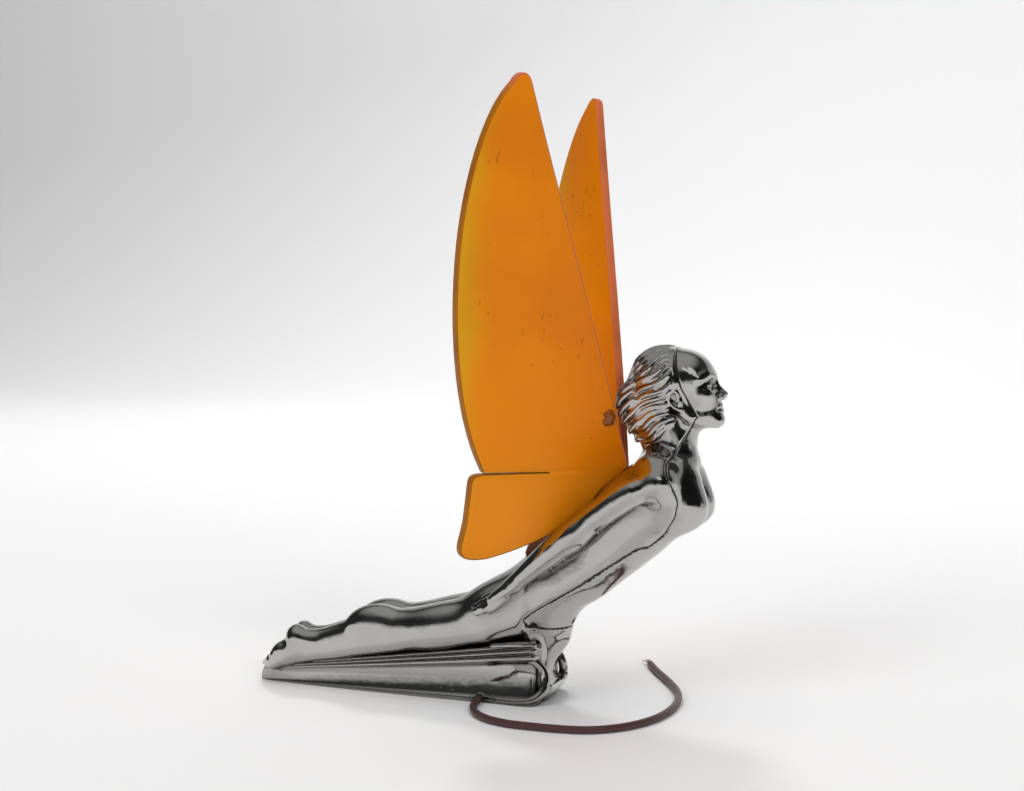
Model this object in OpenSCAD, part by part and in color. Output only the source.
// Lit hood ornament: a chrome figure on a pointed fairing, with two amber wings.
// +X is forwards, +Y is the figure's left and +Z is up. The base stands on z = 0,
// and x = 0 lies midway between the two mounting inserts.

/* [Base] */
// From the origin back to the tail of the fairing
base_tail = 72; // [68:1:76]
// From the origin forward to the front face of the fairing
base_front = 58; // [56:1:60]
// Greatest width of the fairing, near its front
base_w = 40; // [38:1:42]
// Height of the fairing's ridge at its front
base_h = 28; // [27:1:30]
// Wall of the castings
wall = 2.8; // [2.5:0.1:3.2]
// Distance between the two mounting inserts
stud_spacing = 60; // [56:1:62]
// Bore of a mounting insert
stud_bore = 4.8; // [4.2:0.1:5.2]

/* [Figure] */
// Distance between the middles of the shoulders
shoulder_w = 43; // [40:1:46]
// Distance between the middles of the thighs
thigh_gap = 16; // [14:1:18]
// Half-width of the head
head_r = 14; // [13:0.5:15]

/* [Wings] */
// Thickness of a wing
wing_t = 3.8; // [3:0.1:4.2]
// Angle between a wing and the centre plane, seen from above
wing_toe = 44.5; // [40:0.5:48]
// Outward lean of a wing from upright
wing_lean = 8.7; // [6:0.1:11]
// Thickness of the saddle that carries the wings
saddle_t = 2.2; // [1.8:0.1:3]

/* [Lamp] */
// Slope of the lamp's axis above level
lamp_tilt = 42; // [40:1:44]
// Radius of the bulb's cap
cap_r = 4.6; // [4.4:0.05:4.7]
// Radius of the glass globe
globe_r = 5.6; // [5:0.1:6]

/* [Lead] */
// Diameter of the insulated lead
lead_d = 3; // [2.6:0.1:3.2]
// Length of the bared strands at the lead's end
strand_l = 9; // [6:1:12]

/* [Hidden] */

chrome = "#c4c7ca";
amber = "#e07a08";
amber_deep = "#b85c0a";
brass = "#c9a24a";
steel = "#9aa0a6";
fibre = "#6b3d22";
black_glass = "#202024";
clear_glass = "#dfe8ee";
rubber_brown = "#4a2a2c";
copper = "#b4683c";

// Trunk, from the hips to the neck: x, z, tilt, half-depth, half-width.
trunk_stations = [
    [27, 27, 18, 4, 8], [37, 31, 24, 12, 17], [50, 42, 36, 15, 19], [64, 54, 41, 16, 17.5], [79, 66.5, 42, 16, 16.5],
    [93, 78, 41, 17.5, 18.5], [102, 88, 42, 16.5, 20], [106, 95, 55, 12, 15], [107, 101, 70, 9.5, 10]
];
// One leg, from the toes to the hip, with its share of half the thigh gap last.
leg_stations = [
    [-69, 10, 60, 2, 1.6, 0.4], [-65, 13, 40, 4.5, 3.2, 0.42], [-56, 17.5, 20, 6.5, 4.4, 0.48],
    [-46, 17.5, 0, 5.5, 4.4, 0.5], [-36, 19.5, 16, 6, 4.8, 0.55], [-18, 25, 22, 8, 6.8, 0.75],
    [-8, 27, 12, 9, 7.5, 0.85], [8, 29.5, 10, 9.5, 8.2, 0.95], [30, 33, 15, 11.5, 9, 1],
    [50, 42, 28, 15, 9.5, 1]
];
// One arm, from the shoulder to the fingertips: x, distance outwards, z, radius.
arm_points = [
    [108, 0, 92, 7.6], [97, 1, 87, 6.6], [82, 1, 77, 5.6], [66, 0.5, 65, 4.9],
    [52, 0, 53.5, 4.3], [41, -0.5, 46, 3.6], [31, -2, 40.5, 2.3]
];
// Side view of the joint line between the rear casting and the front shell.
joint_line = [
    [109, 152], [111, 140], [113, 129], [110.5, 119], [112, 113], [107.5, 105], [109, 97],
    [104, 87], [92, 73.5], [80, 60.5], [70, 47], [64, 38], [64, 30], [150, 30], [150, 152]
];
// Half of a cross-section of the fairing, as shares of its half-width and height.
fairing_half = [
    [1, 0], [1, 0.07], [0.9, 0.15], [0.85, 0.3], [0.84, 0.48], [0.89, 0.64], [0.97, 0.74],
    [1, 0.8], [0.98, 0.88], [0.92, 0.94], [0.84, 1], [0.5, 1.06]
];
fairing_x = [-72, -64, -50, -34, -18, 0, 18, 34, 46, 50];
front_x = [50, 54, 56.8, 58];
front_share = [1, 0.94, 0.8, 0.55];

body_sides = 24;
sphere_fn = 24;
stud_stations = [3, 5];
saddle_half_w = 15.6;
web_t = 3;
insert_flats = 9;
insert_h = 9;
insert_wall = 2.2;
front_boss_h = 11.4;
screw_x = 17;
strap_z = 12.4;
strap_t = 1.2;
strap_w = 8;
lamp_x = 56;
lamp_z = 46.5;
shell_r = cap_r + 0.4;
shell_t = 0.6;
stem_r = 1;
eyelet_r = 1.08;
lead_r = lead_d / 2;
lead_exit = [31, -17.2];
lead_floor = lead_r + 0.1;

// Inner run of the lead, from its terminal to the notch in the rim.
inner_route = [
    [50.4, -4.2, 41.2], [48, -5.6, 37], [44.5, -6.6, 30], [41, -7, 22], [37.5, -7.4, 14],
    [34, -8.4, 7.5], [31.8, -10.4, 3.4], [31, -13, lead_floor], [31, -17.2, lead_floor]
];
// Free run of the lead on the surface that the base stands on.
outer_route = [
    [31, -17.2], [31.5, -24], [33, -32], [37, -41], [44, -49], [53, -54], [63, -56], [74, -57],
    [85, -56], [94, -51], [101, -43], [106, -33], [109, -21], [110, -8], [109, 5], [106, 18],
    [101, 31], [95, 44], [89, 57], [84, 69]
];
coil_turns = 3.5;
coil_wire_r = 0.22;

function bezier(a, b, c, d, n) = [
    for (i = [0:n]) let (t = i / n, s = 1 - t)
        s * s * s * a + 3 * s * s * t * b + 3 * s * t * t * c + t * t * t * d
];
function spline_at(p, k, t) = let (
    a = p[max(k - 1, 0)], b = p[k], c = p[k + 1], d = p[min(k + 2, len(p) - 1)]
) b + 0.5 * t * ((c - a) + t * (2 * a - 5 * b + 4 * c - d + t * (3 * (b - c) + d - a)));
function smooth(p, n) = [
    for (k = [0:len(p) - 2]) for (i = [0:n - 1]) spline_at(p, k, i / n),
    p[len(p) - 1]
];
function rounded(c, power) = sign(c) * pow(abs(c), 2 / power);
function body_ring(s, y, power, grow) = [
    for (i = [0:body_sides - 1]) let (
        a = 360 * i / body_sides,
        w = (s[4] + grow) * rounded(cos(a), power),
        d = (s[3] + grow) * rounded(sin(a), power)
    ) [s[0] - d * sin(s[2]), y + w, s[1] + d * cos(s[2])]
];
function fairing_share(x) = (x + base_tail) / (base_front + base_tail);
function fairing_w(x) = base_w / 2 * pow(max(fairing_share(x), 0.001), 0.75);
function fairing_h(x) = 7 + (base_h - 7) * fairing_share(x);
function fairing_ring(x, share, grow, foot) = let (
    w = max(fairing_w(x) * share + grow, 0.3),
    h = fairing_h(x) * (0.75 + 0.25 * share) + grow,
    half = [for (p = fairing_half) [x, w * p[0], p[1] == 0 ? -foot : h * p[1]]]
) concat(half, [for (i = [len(half) - 1:-1:0]) [x, -half[i][1], half[i][2]]]);
function unit(v) = v / norm(v);
function tube_ring(p, i, r, sides) = let (
    f = unit(p[min(i + 1, len(p) - 1)] - p[max(i - 1, 0)]),
    side = unit(cross(abs(f[2]) > 0.9 ? [1, 0, 0] : [0, 0, 1], f)),
    up = cross(f, side)
) [for (k = [0:sides - 1]) let (a = 360 * (k + 0.5) / sides) p[i] + r * (cos(a) * side + sin(a) * up)];

// Skins rings of equal length into one closed solid.
module loft(rings) {
    n = len(rings[0]);
    m = len(rings);
    polyhedron(
        points = [for (r = rings) each r],
        faces = concat(
            [[for (i = [0:n - 1]) i]],
            [[for (i = [n - 1:-1:0]) (m - 1) * n + i]],
            [for (k = [0:m - 2]) for (i = [0:n - 1]) let (j = (i + 1) % n)
                each [[k * n + i, (k + 1) * n + i, (k + 1) * n + j],
                      [k * n + i, (k + 1) * n + j, k * n + j]]]
        )
    );
}

module tube(route, r, sides) {
    loft([for (i = [0:len(route) - 1]) tube_ring(route, i, r, sides)]);
}

module both_sides() {
    children();
    mirror([0, 1, 0]) children();
}

module ball(x, y, z, r) {
    translate([x, y, z]) sphere(r, $fn = sphere_fn);
}

module trunk(grow) {
    loft([for (s = smooth(trunk_stations, 3)) body_ring(s, 0, 2.8, grow)]);
}

module leg() {
    loft([for (s = smooth(leg_stations, 2)) body_ring(s, thigh_gap / 2 * s[5], 2.2, 0)]);
}

module arm() {
    for (i = [0:len(arm_points) - 2]) {
        hull() {
            arm_ball(arm_points[i]);
            arm_ball(arm_points[i + 1]);
        }
    }
}

module arm_ball(p) {
    ball(p[0], shoulder_w / 2 + p[1], p[2], p[3]);
}

module head() {
    hull() {
        ball(105, 0, 97, 9);
        ball(106, 0, 114, 8);
    }
    translate([109, 0, 127]) scale([1.2, 1, 1.25]) sphere(head_r, $fn = sphere_fn);
    hull() {
        ball(103, 0, 129, head_r);
        ball(93, 0, 120, 8.5);
    }
    hull() {
        ball(114, 0, 119, 8.5);
        ball(121, 0, 115, 4.5);
    }
}

module fairing(grow, foot = 0) {
    loft(concat(
        [for (x = fairing_x) fairing_ring(x, 1, grow, foot)],
        [for (i = [1:3]) fairing_ring(front_x[i] + grow, front_share[i], grow, foot)]
    ));
}

// The figure and its fairing without the arms, as one outer shape.
module core() {
    trunk(0);
    both_sides() leg();
    both_sides() ball(43, 8, 50.5, 11);
    both_sides() ball(113, 9, 81, 9.7);
    head();
    fairing(0);
}

// The hollow inside the trunk and the fairing, with the way between them.
module hollow() {
    intersection() {
        trunk(-wall);
        translate([41, -30, 20]) cube([70, 60, 71.5]);
    }
    difference() {
        fairing(-wall, 1);
        translate([-100, -30, -2]) cube([42, 60, 60]);
    }
    rotate([90, 0, 0]) linear_extrude(18, center = true)
        polygon([[27, 10], [50, 10], [60, 36], [70, 48], [60, 58], [46, 50], [31, 38], [28.5, 20]]);
}

// Puts its children on the back at a trunk station, with +Z outwards.
module on_back(k) {
    s = trunk_stations[k];
    translate([s[0] - s[3] * sin(s[2]), 0, s[1] + s[3] * cos(s[2])]) rotate([0, -s[2], 0]) children();
}

module at_inserts() {
    for (x = [-1, 1] * stud_spacing / 2) translate([x, 0, 0]) children();
}

module insert_prism(grow) {
    cylinder(h = insert_h + grow, r = (insert_flats / 2) / cos(30), $fn = 6);
}

// The front boss stops below the lamp's strap, so ribs hold it to the walls.
module insert_bosses() {
    boss_r = insert_flats / 2 + insert_wall;
    translate([-stud_spacing / 2, 0, 0]) cylinder(h = 40, r = boss_r, $fn = 32);
    translate([stud_spacing / 2, 0, 0]) {
        cylinder(h = front_boss_h, r = boss_r, $fn = 32);
        translate([-web_t / 2, 0, 0]) cube([web_t, 30, front_boss_h]);
        translate([0, -web_t / 2, 0]) cube([30, web_t, front_boss_h]);
    }
}

// Slot in the back that lets the lamp's light into the saddle.
module light_window() {
    translate([79, 0, 66.5]) rotate([0, -42, 0]) translate([-9, -6, 0]) cube([20, 12, 30]);
}

module front_region() {
    translate([0, 60, 0]) rotate([90, 0, 0]) linear_extrude(120) polygon(joint_line);
}

module figure_casting() {
    color(chrome) difference() {
        union() {
            difference() {
                union() {
                    difference() {
                        core();
                        front_region();
                    }
                    both_sides() arm();
                }
                hollow();
            }
            intersection() {
                union() {
                    translate([-web_t / 2, -30, 0]) cube([web_t, 60, 60]);
                    insert_bosses();
                    translate([screw_x, 0, strap_z + strap_t]) cylinder(h = 20, r = 4, $fn = 32);
                }
                fairing(-0.1);
            }
            for (k = stud_stations) on_back(k) translate([0, 0, -wall - 2]) cylinder(h = wall + 1, r = 4.5, $fn = 32);
        }
        light_window();
        for (k = stud_stations) on_back(k) translate([0, 0, -20]) cylinder(h = 30, r = 1.75, $fn = 24);
        at_inserts() translate([0, 0, -0.01]) insert_prism(0.01);
        translate([screw_x, 0, 5]) cylinder(h = 14.5, r = 1.75, $fn = 24);
        translate([lead_exit[0], 0, lead_floor]) rotate([90, 0, 0]) hull() {
            cylinder(h = 30, r = lead_r + 0.3, $fn = 24);
            translate([0, -3, 0]) cylinder(h = 30, r = lead_r + 0.3, $fn = 24);
        }
    }
}

module front_shell() {
    color(chrome) difference() {
        intersection() {
            core();
            front_region();
        }
        both_sides() arm();
        hollow();
        fairing(0.02);
    }
}

module wing_saddle() {
    color(amber_deep) difference() {
        intersection() {
            trunk(saddle_t);
            rotate([90, 0, 0]) linear_extrude(2 * saddle_half_w, center = true)
                polygon([[53, 56], [95, 94], [95, 112], [80, 110], [48, 76], [48, 60]]);
        }
        trunk(0);
        both_sides() arm();
        both_sides() wing_plate();
        saddle_studs();
    }
}

// Outline of a wing: the main blade, a slit, and the lower feather behind it.
function wing_outline() = concat(
    bezier([0, 0], [14, 42], [38, 100], [56, 149], 16),
    bezier([57, 151.5], [59, 154.5], [62, 154], [64, 151], 4),
    bezier([65, 149.5], [76, 138], [82.6, 108], [82.6, 81], 10),
    bezier([82.6, 78], [82.6, 54], [78, 20], [65.4, 0.5], 10),
    [[36, -1.2], [36, -1.7], [66, -0.8]],
    bezier([68, -0.9], [70, -1.4], [70.7, -2.4], [70.8, -5], 4),
    [[71.6, -20]],
    bezier([73.2, -28], [74, -33], [72, -35], [66, -35.2], 6),
    bezier([62, -35.2], [50, -33.5], [38, -29], [25, -24], 5),
    [[23, -25.5], [0, -4]]
);

module wing_plate() {
    translate([89, -1.9, 97.5]) rotate([90 - wing_lean, 0, 180 + wing_toe])
        linear_extrude(wing_t) polygon(wing_outline());
}

module right_wing() {
    color(amber) difference() {
        wing_plate();
        trunk(0);
        arm();
        mirror([0, 1, 0]) arm();
        translate([-100, 0, 0]) cube([300, 100, 300]);
    }
}

module left_wing() {
    mirror([0, 1, 0]) right_wing();
}

module saddle_studs() {
    color(brass) for (k = stud_stations) on_back(k) translate([0, 0, -8]) cylinder(h = 9, r = 1.5, $fn = 30);
}

module saddle_washers() {
    color(steel) for (k = stud_stations) on_back(k) translate([0, 0, -wall - 2.8]) difference() {
        cylinder(h = 0.8, r = 3.6, $fn = 48);
        translate([0, 0, -1]) cylinder(h = 3, r = 1.6, $fn = 32);
    }
}

module saddle_nuts() {
    color(brass) for (k = stud_stations) on_back(k) translate([0, 0, -wall - 5]) difference() {
        cylinder(h = 2.2, r = 3.1, $fn = 6);
        translate([0, 0, -1]) cylinder(h = 5, r = 1.55, $fn = 32);
    }
}

module thread_inserts() {
    color(steel) at_inserts() difference() {
        insert_prism(0);
        translate([0, 0, -1]) cylinder(h = insert_h + 2, r = stud_bore / 2, $fn = 48);
    }
}

// The lamp's own frame: its origin is in the socket and +Z runs up its axis.
module lamp_frame() {
    translate([lamp_x, 0, lamp_z]) rotate([0, 90 - lamp_tilt, 0]) children();
}

module ring(z0, z1, r_out, r_in) {
    translate([0, 0, z0]) difference() {
        cylinder(h = z1 - z0, r = r_out, $fn = 64);
        translate([0, 0, -1]) cylinder(h = z1 - z0 + 2, r = r_in, $fn = 64);
    }
}

// Side-view place, in the part's own frame, of a point given in the lamp's frame.
function lamp_xz(x, z) = [
    lamp_x + x * sin(lamp_tilt) + z * cos(lamp_tilt),
    lamp_z - x * cos(lamp_tilt) + z * sin(lamp_tilt)
];

module socket_bracket() {
    outer = shell_r + shell_t;
    color(steel) difference() {
        union() {
            lamp_frame() ring(-6, 2, outer + 0.9, outer);
            rotate([90, 0, 0]) linear_extrude(strap_w, center = true) polygon([
                [12, strap_z], [33, strap_z], lamp_xz(-outer - 0.6, -14), lamp_xz(-outer - 0.6, 1),
                lamp_xz(-outer - 2.1, 1), lamp_xz(-outer - 2.1, -14.6), [32.2, strap_z + strap_t],
                [12, strap_z + strap_t]
            ]);
        }
        translate([screw_x, 0, strap_z - 1]) cylinder(h = strap_t + 2, r = 1.7, $fn = 32);
    }
}

module bracket_washer() {
    color(steel) translate([screw_x, 0, 0]) ring(strap_z - 0.7, strap_z, 3.4, 1.6);
}

module bracket_screw() {
    color(steel) translate([screw_x, 0, 0]) difference() {
        union() {
            translate([0, 0, strap_z - 2.7]) cylinder(h = 2, r = 3, $fn = 48);
            translate([0, 0, strap_z - 1]) cylinder(h = 7.6, r = 1.5, $fn = 32);
        }
        translate([-4, -0.4, strap_z - 3]) cube([8, 0.8, 1.1]);
    }
}

// Pie slice between two angles, for cutting slots in a tube.
module wedge(from, to) {
    mid = (from + to) / 2;
    polygon([[cos(mid), sin(mid)], for (a = [from, mid, to]) 9 * [cos(a), sin(a)]]);
}

// Entry slots with a turn at the bottom, where the bulb's pins lock.
module pin_slots() {
    for (side = [0, 180]) rotate([0, 0, side]) translate([0, 0, 8.2]) {
        linear_extrude(10) wedge(96, 124);
        linear_extrude(2.6) wedge(77, 110);
    }
}

module socket_shell() {
    color(brass) lamp_frame() difference() {
        ring(-6, 14, shell_r + shell_t, shell_r);
        pin_slots();
    }
}

module socket_insulator() {
    color(fibre) lamp_frame() ring(-6, -3.6, shell_r, 1.7);
}

module wire_terminal() {
    color(brass) lamp_frame() {
        ring(-6.6, -6, 3.6, eyelet_r);
        ring(-6.1, -3.2, 1.65, eyelet_r);
        ring(-3.6, -3.2, 2.4, eyelet_r);
        translate([-1.2, -4.6, -6.6]) cube([2.4, 2, 0.6]);
    }
}

module contact_plunger() {
    color(brass) lamp_frame() {
        translate([0, 0, 2.2]) cylinder(h = 0.9, r = 2.2, $fn = 48);
        translate([0, 0, -7.6]) cylinder(h = 9.9, r = stem_r, $fn = 48);
    }
}

module contact_disc() {
    color(fibre) lamp_frame() ring(1.4, 2.2, shell_r - 0.5, stem_r);
}

function coil_route() = [for (i = [0:coil_turns * 12]) let (a = 30 * i, n = coil_turns * 12)
    [2 * cos(a), 2 * sin(a), -2.9 + 4 * i / n]];

module contact_spring() {
    color(steel) lamp_frame() tube(coil_route(), coil_wire_r, 6);
}

module bulb_cap() {
    color(brass) lamp_frame() difference() {
        union() {
            translate([0, 0, 4.4]) cylinder(h = 9.1, r = cap_r, $fn = 64);
            translate([0, 0, 9.5]) rotate([90, 0, 0]) cylinder(h = 2 * (cap_r + 0.9), r = 0.9, center = true, $fn = 32);
        }
        translate([0, 0, 5]) cylinder(h = 10, r = cap_r - 0.35, $fn = 64);
        translate([0, 0, 4]) cylinder(h = 2, r = 2.8, $fn = 48);
    }
}

module bulb_insulator() {
    color(black_glass) lamp_frame() ring(3.8, 5, 2.8, 1.3);
}

module bulb_contact() {
    color(steel) lamp_frame() translate([0, 0, 3.15]) cylinder(h = 1.85, r = 1.3, $fn = 32);
}

module bulb_glass() {
    neck_r = cap_r - 0.6;
    color(clear_glass, 0.4) lamp_frame() rotate_extrude($fn = 64) difference() {
        glass_half(neck_r, globe_r);
        glass_half(neck_r - 0.5, globe_r - 0.5);
    }
}

// Half-section of the bulb's glass: a straight neck below a round globe.
module glass_half(neck, globe) {
    intersection() {
        union() {
            translate([-neck, 12]) square([2 * neck, 6]);
            translate([0, 19.5]) circle(globe, $fn = 64);
        }
        translate([0, 12]) square([20, 20]);
    }
}

module bulb_filament() {
    color(steel) lamp_frame() {
        for (y = [-1.6, 1.6]) translate([0, y, 11.5]) cylinder(h = 7, r = 0.25, $fn = 16);
        translate([0, 0, 11.5]) cylinder(h = 1.2, r = 2.2, $fn = 32);
        translate([0, 0, 18.4]) rotate([90, 0, 0]) cylinder(h = 3.4, r = 0.3, center = true, $fn = 16);
    }
}

module inner_lead() {
    color(rubber_brown) tube(smooth(inner_route, 2), lead_r, 8);
}

module lead_wire() {
    flat = smooth(outer_route, 3);
    color(rubber_brown) tube([for (p = flat) [p[0], p[1], lead_floor]], lead_r, 8);
}

module wire_strands() {
    last = outer_route[len(outer_route) - 1];
    before = outer_route[len(outer_route) - 2];
    run = unit(last - before);
    color(copper) translate([last[0], last[1], lead_floor]) rotate([0, 90, atan2(run[1], run[0])])
        cylinder(h = strand_l, r = 0.9, $fn = 24);
}

figure_casting();
front_shell();
wing_saddle();
right_wing();
left_wing();
saddle_studs();
saddle_washers();
saddle_nuts();
thread_inserts();
socket_bracket();
bracket_screw();
bracket_washer();
socket_shell();
socket_insulator();
wire_terminal();
contact_plunger();
contact_disc();
contact_spring();
bulb_cap();
bulb_insulator();
bulb_contact();
bulb_glass();
bulb_filament();
inner_lead();
lead_wire();
wire_strands();
